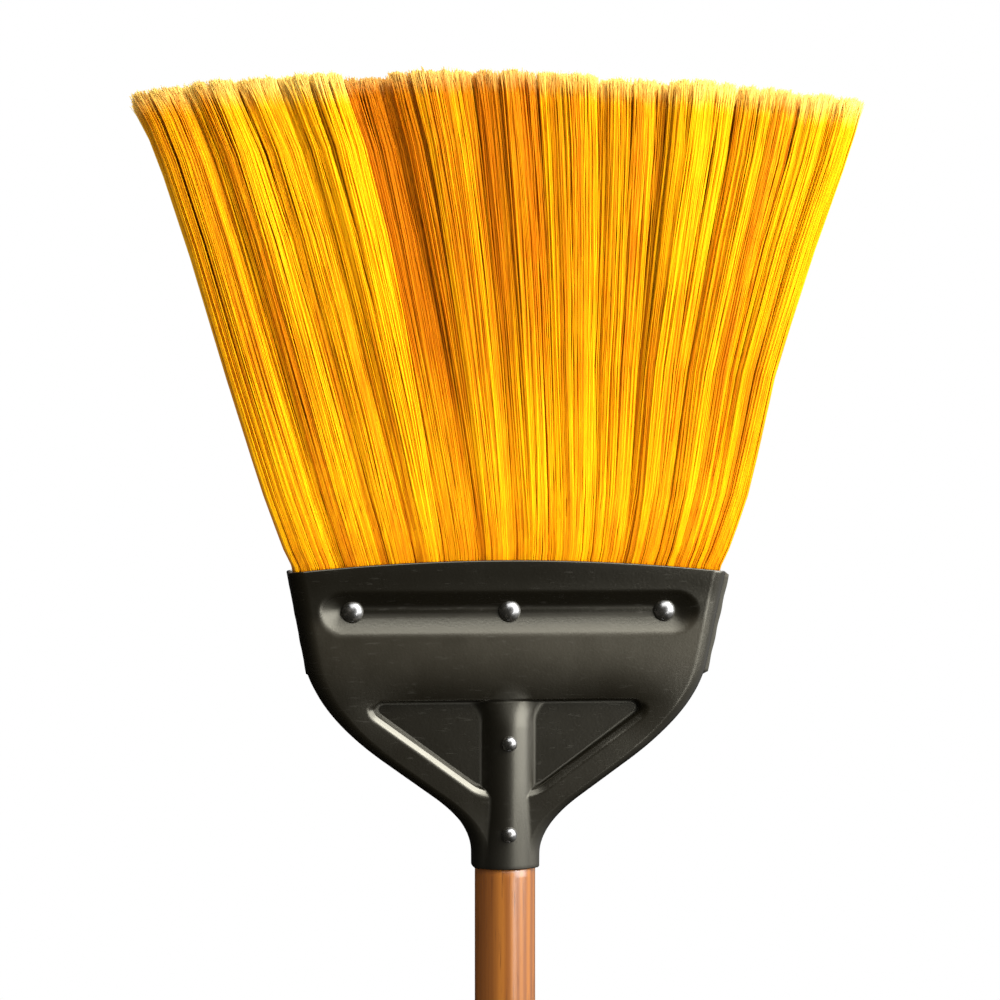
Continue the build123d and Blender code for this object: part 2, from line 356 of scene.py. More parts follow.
def flank_half_width(height):
    """Half the cap's width on its straight flank, which leans out from the shoulder to the mouth."""
    lean = (MOUTH_HALF - SHOULDER_HALF) / (CAP_HEIGHT - MOUTH_ARCH - SHOULDER_HEIGHT)
    return SHOULDER_HALF + lean * (height - SHOULDER_HEIGHT)


def outline_half_width(height):
    """Half the cap's width: the collar, a hollow curve, a straight diagonal, a round shoulder and the
    flank."""
    collar_side = np.full_like(height, SOCKET_RADIUS)
    climb = (height - NECK_HEIGHT) * (SHOULDER_HALF - SOCKET_RADIUS) / (SHOULDER_HEIGHT - NECK_HEIGHT)
    lower = softer_most(collar_side, SOCKET_RADIUS + climb, NECK_ROUND)
    return softer_least(lower, flank_half_width(height), SHOULDER_ROUND)


def field_distance(x, z):
    """How far a point lies outside the sunk field, whose corners are rounded. Each side is drawn in by the
    round: past a side it is the distance to that side, past the sharp upper corner the distance to the
    corner, both less the round, and 0 inside."""
    run = np.subtract(FIELD_TIP, FIELD_TOE)
    run = run / np.hypot(*run)
    side = (np.abs(x) - FIELD_TOE[0]) * run[1] - (z - FIELD_TOE[1]) * run[0] + FIELD_ROUND
    top = z - FIELD_TIP[1] + FIELD_ROUND
    bottom = FIELD_TOE[1] - z + FIELD_ROUND
    lean = -run[0]
    corner = np.sqrt(np.maximum(side**2 + top**2 - 2 * lean * side * top, 0) / (1 - lean**2))
    upper = np.where((side > lean * top) & (top > lean * side), corner, np.maximum(side, top))
    return np.maximum(softer_most(upper, bottom, FIELD_TOE_ROUND) - FIELD_ROUND, 0.0)


def panel_depth(x, z):
    """The unpressed face: a panel that leans out evenly from collar to mouth, fuller where it runs into
    the collar, and flares over the last stretch below the arched lip."""
    lean = COLLAR_DEPTH + (MOUTH_DEPTH - COLLAR_DEPTH) * z / CAP_HEIGHT
    fuller = COLLAR_FULLNESS * (1 - step(z, *COLLAR_FULL_RANGE))
    unarched = z + MOUTH_ARCH * (x / MOUTH_HALF) ** 2
    return lean + fuller + LIP_FLARE * step(unarched, *LIP_FLARE_RANGE)


def pressed_depth(x, z):
    """How far the pressed face stands from the seam plane: the panel, less a channel along a straight
    spine, less a gentle roll down to the top of the fields, weaker over the ridge and gone past the fields'
    tips. The channel's walls climb from its narrow floor to its rim, a little steeper on the way, rounded at
    both. Along the fields' slanting sides the edge is bevelled, and a steep wall goes down from there to the
    floor."""
    wide, above = np.abs(x), z - CHANNEL_HEIGHT
    reach = np.where(above > 0, CHANNEL_ABOVE, CHANNEL_BELOW)
    spine = np.hypot(np.maximum(wide - CHANNEL_HALF, 0) / CHANNEL_END, above / reach)
    climbed = np.maximum((spine - CHANNEL_FLOOR) / (1 - CHANNEL_FLOOR), 0) ** CHANNEL_STEEPNESS
    sunk = softer_least(softer_most(1 - climbed, 0.0, CHANNEL_ROUND), 1.0, CHANNEL_ROUND)
    roll = ROLL_DROP * (1 - np.clip((z - FIELD_TIP[1]) / ROLL_HEIGHT, 0, 1)) ** 2
    roll = roll * (ROLL_ON_RIDGE + (1 - ROLL_ON_RIDGE) * step(wide, *ROLL_DEEPEN_RANGE))
    roll = roll * (1 - step(wide, *ROLL_END_RANGE)) * step(z, *ROLL_START_RANGE)
    panel = panel_depth(x, z) - CHANNEL_DEPTH * sunk - roll
    outside = field_distance(x, z)
    slope = BEVEL_DROP / BEVEL_WIDTH
    drop = BEVEL_DROP * (1 - step(z, *BEVEL_END_RANGE))
    bevel = panel - drop + (outside - FIELD_WALL) * slope
    wall = np.maximum(panel - drop - FIELD_FLOOR, 0) / FIELD_WALL + slope
    bevelled = softer_least(panel, bevel, BEVEL_FILLET)
    return softer_least(bevelled, FIELD_FLOOR + outside * wall, FIELD_FILLET)


def socket_swell(z):
    """How far the socket's round is drawn out to the front: it swells up from the collar, as a quarter
    sine, and draws in again where the ridge ends in the panel."""
    swell = SOCKET_SWELL * np.sin(np.pi / 2 * np.clip(z / SOCKET_SWELL_HEIGHT, 0, 1))
    return 1 + swell - RIDGE_DRAW_IN * step(z, *RIDGE_DRAW_IN_RANGE)


def shell_points():
    """The front face of the cap on a grid, across from right to left and up from collar to mouth. A row's
    section is a flank, a rounded edge, the pressed face, an edge and a flank, pushed out to the socket's
    round wherever it lies inside it. The ridge this leaves broadens at its top, as the square of the height,
    to round off the fields' inner corners. Rows lie closest over the fields and the channel.

    Also gives two marks for each point. Proud, where the paint is dusty and where light and shade are
    painted: level with the panel, below the channel's floor, thinly on the web, neither on the ridge nor at
    the flanks, and more to the right; so the sunk parts, the lip above the channel, the web, the ridge and
    the flanks are painted darker as shade, and the right side is painted lighter. Dulled: the ridge and the
    collar."""
    flank, edge = np.linspace(0, 1, 4)[:-1, None], np.linspace(0, 1, 9)[:-1, None]
    face = np.linspace(-1, 1, 261)[:, None]
    rows = np.interp(np.linspace(0, 1, 210), ROW_SHARE, ROW_HEIGHT) / CAP_HEIGHT
    arch = MOUTH_ARCH * step(rows, *ARCH_RANGE)
    half = outline_half_width(rows * CAP_HEIGHT - arch)[None]
    flat = half - EDGE_ROUND
    turn = edge * np.pi / 2
    upright, edge_x, edge_y = half + 0 * flank, flat + EDGE_ROUND * np.cos(turn), EDGE_ROUND * np.sin(turn)
    x = np.concatenate([upright, edge_x, -face * flat, -edge_x[::-1], -upright])
    z = rows * CAP_HEIGHT - arch * (x / half) ** 2
    depth = pressed_depth(np.clip(x, -flat, flat), z)
    wall = depth - EDGE_ROUND
    first, second = flank.size, flank.size + edge.size
    right = [flank * wall[:first], wall[first:second] + edge_y]
    left = [wall[-second:-first] + edge_y[::-1], flank[::-1] * wall[-first:]]
    y = np.concatenate([*right, depth[second:-second], *left])
    radius = np.maximum(np.hypot(x, y / socket_swell(z)), 0.01)
    climbed = np.clip((z - RIDGE_BROAD_FROM) / RIDGE_BROAD_RUN, 0, 1)
    broad = 1 + RIDGE_BROADENING * climbed**2 * (x / radius) ** 2
    socket = SOCKET_RADIUS * broad * (1 - step(z, *RIDGE_END_RANGE))
    fillet = RIDGE_FILLET + RIDGE_TOP_FILLET * step(z, *RIDGE_FILLET_RANGE)
    grown = softer_most(radius, socket, fillet) / radius
    grown = np.where(np.abs(x) < SOCKET_RADIUS + RIDGE_REACH, grown, 1.0)
    # Painted light and shade, with some dusty paint: paler where level with the panel and to the right, with
    # painted shade in the sunk parts, above the channel where the bristles shade the lip, down the web, on
    # the ridge and at the flanks.
    level = 1 - step(panel_depth(x, z) - depth, *DUST_AND_SHADE_LEVEL_RANGE)
    proud = level * (1 - step(z, *PAINTED_SHADOW_TOP_RANGE))
    proud = proud * (PAINTED_LIGHT_ON_WEB + (1 - PAINTED_LIGHT_ON_WEB) * step(z, *PAINTED_LIGHT_PANEL_RANGE))
    proud = proud * (1 - step(np.abs(x), half - 9.0, half - 1.0)) * (1 - step(grown, *DUST_AND_SHADE_OFF_RIDGE_RANGE))
    proud = proud * (PAINTED_LIGHT_AT_MIDDLE + PAINTED_LIGHT_TO_RIGHT * x / half)
    on_ridge = RIDGE_DULL * step(grown, *RIDGE_DULL_RANGE)
    dulled = np.maximum(on_ridge, COLLAR_DULL * (1 - step(z, *COLLAR_DULL_RANGE)))
    return np.stack([x * grown, -y * grown, z + collar], -1), np.stack([proud, dulled], -1)


def sheet_loop(outer, marks, thickness):
    """A skin made a sheet: the outer grid, a half-round lip, every third row of the grid again one
    thickness in along its normals, and a half-round lower edge, so that each column is a closed loop. Each
    point's marks are how sharply its face bends outward, in full at a bend of WEAR_RADIUS, where edges are
    rubbed; how proud it is, which stands for dusty paint and for painted light and shade; and how
    dull: the mark for it, or how sharply the face bends inward, where it stays dusty."""
    across, up = np.gradient(outer, axis=0), np.gradient(outer, axis=1)
    normal = unit(np.cross(up, across))
    middle = outer - normal * thickness / 2
    turn = np.linspace(0, np.pi, 7)[1:-1, None]

    def lip(row, away):
        """Half a circle about the sheet's middle, from the outer face round to the inner one."""
        swing = normal[:, row, None] * np.cos(turn) + unit(away)[:, None] * np.sin(turn)
        return middle[:, row, None] + swing * thickness / 2

    top, bottom = lip(-1, up[:, -1]), lip(0, -up[:, 0])[:, ::-1]
    loop = np.concatenate([outer, top, (outer - normal * thickness)[:, ::-3], bottom], axis=1)
    bend = np.gradient(across, axis=0) / (across**2).sum(-1, keepdims=True)
    bend = bend + np.gradient(up, axis=1) / (up**2).sum(-1, keepdims=True)
    bend = WEAR_RADIUS * (bend * normal).sum(-1)
    wear_and_painted_light = np.zeros(loop.shape)
    wear_and_painted_light[:, : outer.shape[1], 0] = np.clip(-bend, 0, 1)
    wear_and_painted_light[:, : outer.shape[1], 1] = marks[..., 0]
    wear_and_painted_light[:, : outer.shape[1], 2] = np.maximum(marks[..., 1], np.clip(bend, 0, 1))
    return loop, wear_and_painted_light


def hem_points(side):
    """The folded side seam: a bar that follows the flank's lean, drawn in at both ends. Its section is a
    circle made squarer by a power of its cosine and sine. The right one stands out, more so towards the
    mouth, and the left one is pressed almost flush."""
    turn = np.linspace(0, 2 * np.pi, 20, endpoint=False)
    wide, deep = (np.sign(way) * np.abs(way) ** HEM_SQUARENESS for way in (np.cos(turn), np.sin(turn)))
    run = np.linspace(0, 1, 40)[:, None]
    full = np.sqrt(np.clip(np.minimum(run, 1 - run) / HEM_END_RUN, HEM_END_LEAST, 1))
    height = HEM_FOOT + run * HEM_LENGTH
    proud = HEM_PROUD + HEM_PROUD_MORE * run if side > 0 else HEM_FLUSH
    x = flank_half_width(height) + proud + HEM_HALF_WIDTH * full * wide + HEM_WAVER * np.sin(run * HEM_WAVES)
    y = HEM_HALF_DEPTH * full * deep - HEM_FORWARD
    return np.stack([side * x, side * y, np.broadcast_to(height + collar, x.shape)], -1)


def mark(piece, name, values):
    """Keeps three numbers at each vertex under that name, for the piece's material to read."""
    kept = piece.data.attributes.new(name, "FLOAT_VECTOR", "POINT")
    kept.data.foreach_set("vector", values.astype(np.float32).ravel())


def black_enamel():
    """Black enamel with a warm sheen, a faint orange peel and small scuffs, burnished along the rims, and
    paler where the face stands proud, which is dusty paint and painted light at once: lighter on the level
    panel and towards the right, with painted shade in the sunk parts, above the channel, down the web, on the
    ridge and at the flanks."""
    enamel = Finish(bpy.data.materials.new("black_enamel"))
    rim, proud, dulled = enamel.marks("wear_and_painted_light")
    veil = enamel.noise((45.0, 45.0, 30.0), 5.0, 0.62)
    speck = enamel.noise((900.0, 900.0, 900.0), 2.0)
    scuff = enamel.noise((160.0, 160.0, 900.0), 3.0).ramp(0.60, 0.78)
    # Part dusty paint, part painted light and shade: the pale mix follows the proud mark, lighter where the
    # face is lit and darker where shade falls.
    dust_and_painted_light = proud * (0.55 + veil * 0.9)
    colour = enamel.mix(dust_and_painted_light, (0.0040, 0.0032, 0.0016, 1), (0.0168, 0.0136, 0.0082, 1))
    colour = enamel.mix((rim * (0.55 + veil)).ramp(0.25, 1.1) * 0.06, colour, (0.10, 0.090, 0.070, 1))
    colour = enamel.mix(scuff * 0.05, colour, (0.10, 0.095, 0.085, 1))
    enamel.plug(enamel.shader, {
        "Base Color": colour,
        "Roughness": veil * 0.10 + dust_and_painted_light * 0.10 + scuff * 0.08 + dulled * 0.55 + 0.20,
        "Specular IOR Level": 0.9,
        "Specular Tint": (1.0, 0.96, 0.80, 1),
        "Normal": enamel.bump(speck + veil * 0.4, 0.0002, 0.14),
    })
    return enamel


enamel = black_enamel()
loop, wear_and_painted_light = sheet_loop(*shell_points(), SHEET)
half_turn = np.array([-1.0, -1.0, 1.0])
for name, node, turned_round in (("cap_front", "front_shell", 1.0), ("cap_rear", "rear_shell", half_turn)):
    shell = skin(name, loop * turned_round, ring=True, ends=True)
    mark(shell, "wear_and_painted_light", wear_and_painted_light)
    enamel.coat(shell)
    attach(shell, "broom")
    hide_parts(node)
for name, side in (("hem_right", 1.0), ("hem_left", -1.0)):
    hem = skin(name, hem_points(side), ring=True, ends=True)
    mark(hem, "wear_and_painted_light", np.tile([0.0, 0.0, HEM_DULL], len(hem.data.vertices)))
    enamel.coat(hem)
    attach(hem, "broom")


# Bristle butt: the filaments' roots, melted into one bar and held between the two channels. Only its
# upper face can be glimpsed, between the bristles.
BUTT_BOTTOM = 84.0
BUTT_BELOW_LIP = 7.0
BUTT_END_GAP = 4.7
BUTT_FACE_GAP = 0.5


def butt_points():
    """Sections across the bar, from left to right: up its rear face and down its front one, both a little
    inside the shells, from a level bottom to a top that follows the arch of the lip."""
    share = np.linspace(-1, 1, 41)[:, None]
    top = CAP_HEIGHT - BUTT_BELOW_LIP - MOUTH_ARCH * share**2
    height = BUTT_BOTTOM + (top - BUTT_BOTTOM) * np.linspace(0, 1, 24)
    x = share * (flank_half_width(height) - BUTT_END_GAP)
    deep = pressed_depth(x, height) - SHEET - BUTT_FACE_GAP
    faces = [np.stack([x, row * deep, height + collar], -1) for row in (1, -1)]
    return np.concatenate([faces[0], faces[1][:, ::-1]], axis=1)


def fused_roots():
    """Melted filament, lumpy and stained, of a deeper colour than the bristles."""
    roots = Finish(bpy.data.materials.new("fused_roots"))
    lump = roots.noise((300.0, 300.0, 300.0), 4.0)
    colour = roots.mix(lump.ramp(0.3, 0.7), (0.42, 0.15, 0.006, 1), (0.74, 0.36, 0.012, 1))
    roots.plug(roots.shader, {
        "Base Color": colour,
        "Roughness": lump * 0.3 + 0.5,
        "Normal": roots.bump(lump, 0.0006, 0.5),
    })
    return roots


butt = skin("fused_butt", butt_points(), ring=True, ends=True)
fused_roots().coat(butt)
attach(butt, "broom")
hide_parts("bristle_butt")


# Rivets: steel, domed at both ends and enamelled black with the cap. Three pinch the channels on the
# bristle butt, and two go through the socket and the handle's tenon. A rivet's three sizes are the radius
# and the rise of its head and the radius of its shank.
CLAMP_PITCH = 65.04
CLAMP_HEIGHT = 107.0
CLAMP_SIZES = (4.6, 2.8, 2.2)
PIN_LOW = 14.3
PIN_HIGH = 52.0
PIN_SIZES = (3.25, 2.2, 1.8)
HEAD_FOOT = 0.97
HEAD_EDGE = 0.25
HEAD_UNDERSIDE = 0.3
clamp_seat = pressed_depth(0.0, CLAMP_HEIGHT) + HEAD_UNDERSIDE
RIVETS = {
    "clamp_rivet_left": (-CLAMP_PITCH, CLAMP_HEIGHT, clamp_seat, *CLAMP_SIZES),
    "clamp_rivet_middle": (0.0, CLAMP_HEIGHT, clamp_seat, *CLAMP_SIZES),
    "clamp_rivet_right": (CLAMP_PITCH, CLAMP_HEIGHT, clamp_seat, *CLAMP_SIZES),
    "handle_rivet_lower": (0.0, PIN_LOW, SOCKET_RADIUS * socket_swell(PIN_LOW), *PIN_SIZES),
    "handle_rivet_upper": (0.0, PIN_HIGH, SOCKET_RADIUS * socket_swell(PIN_HIGH), *PIN_SIZES),
}


def rivet_points(x, height, seat, head, dome, shank):
    """A profile turned about the line from front to back: half an ellipse for each head, which sits on the
    sheet with a slightly rounded edge, and a straight shank between them."""
    turn = np.linspace(0.04, np.pi / 2, 14)
    radii = np.concatenate([head * np.sin(turn), [head * HEAD_FOOT, shank, shank]])
    reach = np.concatenate([seat + dome * np.cos(turn), [seat - HEAD_EDGE, seat - HEAD_UNDERSIDE, 0.0]])
    both_radii, both_reaches = np.concatenate([radii, radii[-2::-1]]), np.concatenate([-reach, reach[-2::-1]])
    profile = turned(both_radii, both_reaches, 32)
    lying = np.stack([profile[..., 0], profile[..., 2], -profile[..., 1]], -1)
    return lying + np.array([x, 0.0, height + collar])


def rivet_black():
    """Glossy black enamel over steel, with a faint orange peel and a few dull, dusty spots."""
    black = Finish(bpy.data.materials.new("rivet_black"))
    spot = black.noise((500.0, 500.0, 500.0), 3.0)
    dull = spot.ramp(0.5, 0.72)
    colour = black.mix(dull, (0.010, 0.009, 0.006, 1), (0.035, 0.030, 0.022, 1))
    black.plug(black.shader, {
        "Base Color": colour,
        "Roughness": dull * 0.14 + 0.26,
        "Specular IOR Level": 1.0,
        "Coat Weight": 1.0,
        "Coat IOR": 2.2,
        "Coat Roughness": 0.25,
        "Normal": black.bump(spot, 0.0003, 0.08),
    })
    return black


rivet_finish = rivet_black()
for node, sizes in RIVETS.items():
    rivet = skin(node.replace("rivet", "stud"), rivet_points(*sizes), ring=True, ends=True)
    rivet_finish.coat(rivet)
    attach(rivet, "broom")
    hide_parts(node)


# Bristles: thousands of stiff yellow polypropylene filaments, set in two rows of tufts. They swell over
# the lip, fan out, gather into locks, and end in split, paler tips trimmed to a shallow arch. STEPS counts
# a strand's way from 0 at its root past 1 at the lip to 4 at its tip.
STRANDS = 560
LOCKS = 40
FLAGS = 2
STRAND_RADIUS = 0.43
STRAND_RADII = (0.8, 1.15)
STRAND_TAPER = 0.7
FLAG_RADIUS = 0.2
FLAG_TAPER = 0.6
FLAG_LENGTH = 9.0
FLAG_STEPS = [0.0, 0.55, 1.0]
FLAG_SPREAD = [0.9, 0.8, 0.4]
LOCK_PULL = (0.2, 0.8)
TRIM = 0.6
TIP_STRAY = 0.006
TIP_OUTMOST = 1.01
BOW = 0.9
SWAY = 0.4
DEPTH_BOW = 0.5
INNERMOST = 0.97
TUFT_HOLLOW = 0.12
TIP_HOLLOW = 0.10
ROOT_HEIGHT = 119.0
LIP_HEIGHT = 133.0
TIP_CROWN = 328.4
TIP_ARCH_LEFT = 11.4
TIP_ARCH_RIGHT = 9.6
STEPS = [0.0, 0.6, 0.95, 1.15, 1.35, 1.6, 1.85, 2.15, 2.5, 3.0, 3.55, 3.8, 4.0]
FAN_HEIGHTS = [110.0, 123.0, 133.0, 157.0, 207.0, 258.0, 300.0, 317.0, 334.0]
FAN_LEFT = [85.5, 87.5, 92.4, 101.2, 116.7, 131.6, 145.2, 154.0, 160.0]
FAN_RIGHT = [85.5, 87.5, 91.8, 100.3, 112.4, 129.6, 145.2, 150.2, 155.0]
DEPTH_HEIGHTS = [110.0, 122.0, 128.0, 135.0, 145.0, 333.0]
DEPTHS = [15.5, 16.8, 18.9, 20.5, 21.4, 26.5]
DEPTH_SPARE = 1.7
ROWS_OVERLAP = 1.2
ROWS_OVERLAP_MOST = 1.4
ROOT_EDGES = [-1.0, -0.79, -0.60, -0.44, -0.30, -0.14, 0.02, 0.20, 0.36, 0.52, 0.68, 0.85, 1.0]
TIP_EDGES = [-1.0, -0.86, -0.72, -0.60, -0.45, -0.31, -0.10, 0.06, 0.24, 0.44, 0.62, 0.81, 1.0]
FRONT_SHORT = [1.5, 0.0, 0.5, 0.0, 3.5, 0.0, 0.5, 0.0, 2.5, 0.0, 0.5, 1.0]
FRONT_BACK = [3.0, 0.0, 3.0, 0.0, 11.0, 2.0, 0.0, 3.0, 6.0, 0.0, 2.0, 0.0]
# Each front tuft's tone, set to how deep each tuft looks, so it is colour and painted shade at once; it is
# deepest on the tuft set back furthest.
FRONT_TONE_AND_SHADE = [0.25, -0.1, -0.25, -0.65, 1.1, 0.3, 0.8, 0.3, 0.25, -0.5, 0.1, -0.5]
SHORTER = 0.4
LOCK_TONE = 0.75
# Painted shade: strands whose roots lie further in are coloured deeper, as the shade between the strands.
INNER_PAINTED_SHADE = 0.6
ROOT_TONE = 0.25
MOOD_RANGE = (40.0, 150.0)
UPPER_TONE = 0.18
UPPER_TONE_RANGE = (105.0, 150.0)
# Painted shade: the bristles are coloured deeper just above the lip, as the shade where they crowd over it.
LIP_PAINTED_SHADE = 0.25
LIP_PAINTED_SHADE_RANGE = (165.0, 195.0)
chance = np.random.default_rng(41)


def strand_lines(column, row, short, back):
    """Centre lines of one tuft's strands, as strand by step by xyz, with each strand's lock and how far in
    its root lies. A strand keeps its cell at the root and moves towards its lock at the tip, with a small bow
    and sway of its own. Across, it keeps a share of the fan's half width at each height. In depth, it keeps
    a share of the row's depth, less where the tuft is set back and towards the tuft's two sides, and starts
    just past the middle, so that the two rows meet."""
    cell = chance.uniform(0, 1, (STRANDS, 2))
    cell[:, 1] = 1 - INNERMOST * cell[:, 1] ** 2
    locks = chance.uniform(0, 1, (LOCKS, 2))
    nearest = np.argmin(((cell[:, None] - locks) ** 2).sum(-1), axis=1)
    gathered = cell + (locks[nearest] - cell) * chance.uniform(*LOCK_PULL, (STRANDS, 1))
    root_share = np.interp(cell[:, 0], [0, 1], ROOT_EDGES[column : column + 2])
    tip_share = np.interp(gathered[:, 0], [0, 1], TIP_EDGES[column : column + 2])
    tip_share = np.clip(tip_share + chance.normal(0, TIP_STRAY, STRANDS), -TIP_OUTMOST, TIP_OUTMOST)
    arch = np.where(tip_share < 0, TIP_ARCH_LEFT, TIP_ARCH_RIGHT) * tip_share**2
    crown = (TIP_CROWN - arch - short + chance.normal(0, TRIM, STRANDS))[:, None]
    root = (ROOT_HEIGHT - MOUTH_ARCH * root_share**2)[:, None]
    along = np.array(STEPS)[None]
    low, high = root + (LIP_HEIGHT - root) * along, LIP_HEIGHT + (crown - LIP_HEIGHT) * (along - 1) / 3
    height = np.where(along < 1, low, high)
    climb = np.clip((along - 1) / 3, 0, 1)
    share = root_share[:, None] + (tip_share - root_share)[:, None] * climb
    inside = 1 - tip_share[:, None] ** 12
    bow = np.sin(np.pi * climb) * chance.normal(0, BOW, (STRANDS, 1)) * inside
    sway = np.sin(2 * np.pi * climb) * chance.normal(0, SWAY, (STRANDS, 1)) * inside
    left, right = np.interp(height, FAN_HEIGHTS, FAN_LEFT), np.interp(height, FAN_HEIGHTS, FAN_RIGHT)
    x = share * np.where(share < 0, left, right) + bow + sway
    hollow = (2 * gathered[:, :1] - 1) ** 2
    deep = np.interp(height, DEPTH_HEIGHTS, DEPTHS) + DEPTH_SPARE - back * climb
    layer = cell[:, 1:] + (gathered[:, 1:] - cell[:, 1:]) * climb
    y = layer * deep * (1 - hollow * (TUFT_HOLLOW + TIP_HOLLOW * climb)) - ROWS_OVERLAP
    y = y + np.sin(np.pi * climb) * chance.normal(0, DEPTH_BOW, (STRANDS, 1))
    y = np.maximum(y, -ROWS_OVERLAP_MOST)
    return np.stack([x, row * y, height + collar], -1), nearest, 1 - cell[:, 1]


def tubes(lines, radii, sides=3):
    """Thin tubes along many lines at once: at each step a triangle of points is set round the line, across
    it and across the depth. Points come as strand by step by side by xyz."""
    turn = np.arange(sides) * 2 * np.pi / sides + 0.5
    ring = np.stack([np.cos(turn), np.sin(turn), np.zeros(sides)], -1)
    return lines[:, :, None] + radii[:, :, None, None] * ring


def bundle(name, groups):
    """One mesh from groups of tubes, each an array of strand by step by side by xyz in millimetres. Quads
    join the steps, and one face closes each end."""
    walls, ends, points, count = [], [], [], 0
    for tube in groups:
        strands, steps, sides = tube.shape[:3]
        index = count + np.arange(strands * steps * sides).reshape(strands, steps, sides)
        beside = np.roll(index, -1, axis=2)
        quads = np.stack([index[:, :-1], beside[:, :-1], beside[:, 1:], index[:, 1:]], -1)
        walls.append(quads.reshape(-1, 4))
        ends.append(np.concatenate([index[:, -1], index[:, 0, ::-1]]))
        points.append(tube.reshape(-1, 3))
        count += strands * steps * sides
    return solid(name, np.concatenate(points), np.concatenate(walls).tolist() + np.concatenate(ends).tolist())


def tuft(name, column, row, short, back, tone_and_shade):
    """One tuft: its strands, and on each strand's end a few finer split ends that spread a little. Every
    point carries its strand's tone, its distance below the tip and a shade: its lock's tone with painted
    shade added."""
    lines, lock, inner = strand_lines(column, row, short, back)
    radii = STRAND_RADIUS * chance.uniform(*STRAND_RADII, (STRANDS, 1))
    radii = radii * np.linspace(1.0, STRAND_TAPER, lines.shape[1])
    tone = chance.uniform(0, 1, STRANDS)
    # Inner strands get painted shade: a deeper colour, for the shade between the strands.
    lock_tone = chance.uniform(0, LOCK_TONE, LOCKS)[lock] + INNER_PAINTED_SHADE * inner
    below = lines[:, -1:, 2] - lines[:, :, 2]
    owner = np.repeat(np.arange(STRANDS), FLAGS)
    end = lines[owner, -1]
    reach = unit(end - lines[owner, -2]) * FLAG_LENGTH
    share = np.array(FLAG_STEPS)
    spread = chance.normal(0, 1.0, (owner.size, 1, 3)) * np.array(FLAG_SPREAD)
    flags = (end - reach)[:, None] + reach[:, None] * share[:, None] + spread * share[:, None] ** 1.5
    flag_radii = FLAG_RADIUS * np.ones((owner.size, 1)) * np.linspace(1.0, FLAG_TAPER, share.size)
    flag_below = np.ones((owner.size, 1)) * FLAG_LENGTH * (1 - share)
    piece = bundle(name, [tubes(lines, radii), tubes(flags, flag_radii)])

    def told(who, under):
        """What each point carries. The shade is its lock's tone, with painted shade on the inner strands, and
        the tuft's tone, which carries painted shade too and fades towards the root; it is deeper over the
        upper half, and again just above the lip as painted shade."""
        rooted = step(under, *MOOD_RANGE)
        shade = lock_tone[who, None] + tone_and_shade * (1 - rooted) + ROOT_TONE * rooted
        shade = shade + UPPER_TONE * (1 - step(under, *UPPER_TONE_RANGE))
        shade = shade + LIP_PAINTED_SHADE * step(under, *LIP_PAINTED_SHADE_RANGE)
        facts = [np.broadcast_to(tone[who, None], under.shape), under / 100, shade]
        return np.repeat(np.stack(facts, -1).reshape(-1, 3), 3, axis=0)

    mark(piece, "strand", np.concatenate([told(np.arange(STRANDS), below), told(owner, flag_below)]))
    return piece


def bristle_yellow():
    """Yellow filament with a faint sheen, that differs from strand to strand and lock to lock, is deeper
    where the shade mark paints in shade, and is paler over its last few millimetres, where it is split."""
    yellow = Finish(bpy.data.materials.new("bristle_yellow"))
    tone, below, lock = yellow.marks("strand")
    fleck = yellow.noise((320.0, 320.0, 55.0), 3.0, 0.6)
    # The third mark is the lock's tone with the painted shade added, so it deepens the colour where shade
    # falls.
    deep = (tone * 0.4 + lock * 0.75 + fleck * 0.8 - 0.4).ramp(0.2, 1.25)
    colour = yellow.mix(deep, (0.97, 0.500, 0.0015, 1), (0.63, 0.190, 0.0005, 1))
    pale = 1.0 - (below + tone * 0.03 + lock * 0.03).ramp(0.01, 0.14)
    colour = yellow.mix(pale * 0.7, colour, (0.98, 0.78, 0.24, 1))
    yellow.plug(yellow.shader, {
        "Base Color": colour,
        "Roughness": tone * 0.15 + 0.45,
        "Specular IOR Level": 0.06,
    })
    return yellow


bristle = bristle_yellow()
front = ("front", -1.0, FRONT_SHORT, FRONT_BACK, FRONT_TONE_AND_SHADE)
rear = ("rear", 1.0, FRONT_BACK[::-1], FRONT_SHORT[::-1], FRONT_TONE_AND_SHADE[::-1])
for side, row, short, back, tone_and_shade in (front, rear):
    for column in range(len(FRONT_SHORT)):
        name = f"{side}_bristles_{column + 1:02d}"
        piece = tuft(name, column, row, SHORTER * short[column], back[column], tone_and_shade[column])
        bristle.coat(piece)
        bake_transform(piece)
        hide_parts(f"{side}_tuft_{column + 1:02d}")


# Studio: a pale round floor under the handle's end, white all round, four large soft lamps, of which three
# stand in front towards the right and one behind, a small weak one low in front, and a camera level with
# the head that sees it as the photograph does.
FLOOR_RADIUS = 150.0
FLOOR_THICKNESS = 20.0
FLOOR_EDGE = 4.0
FLOOR_GAP = 0.2
BRIGHT_SIDE = (0.85, -0.15, 0.35)
BRIGHT_TOP = (0, 0.6, 0.8)
CAMERA_LENS = 85.0
CAMERA_TURN = np.radians(7.0)
CAMERA_ASIDE = 0.0021
SEEN_WIDTH = 0.42
HEAD_MIDDLE = Vector((0, 0, (collar + 152.9) * MM))


def pale_floor():
    """Matt white paint, very slightly cloudy."""
    floor = Finish(bpy.data.materials.new("pale_floor"))
    cloud = floor.noise((1.5, 1.5, 1.5), 3.0)
    colour = floor.mix(cloud, (0.82, 0.82, 0.81, 1), (0.86, 0.86, 0.85, 1))
    floor.plug(floor.shader, {"Base Color": colour, "Roughness": 0.8})
    return floor


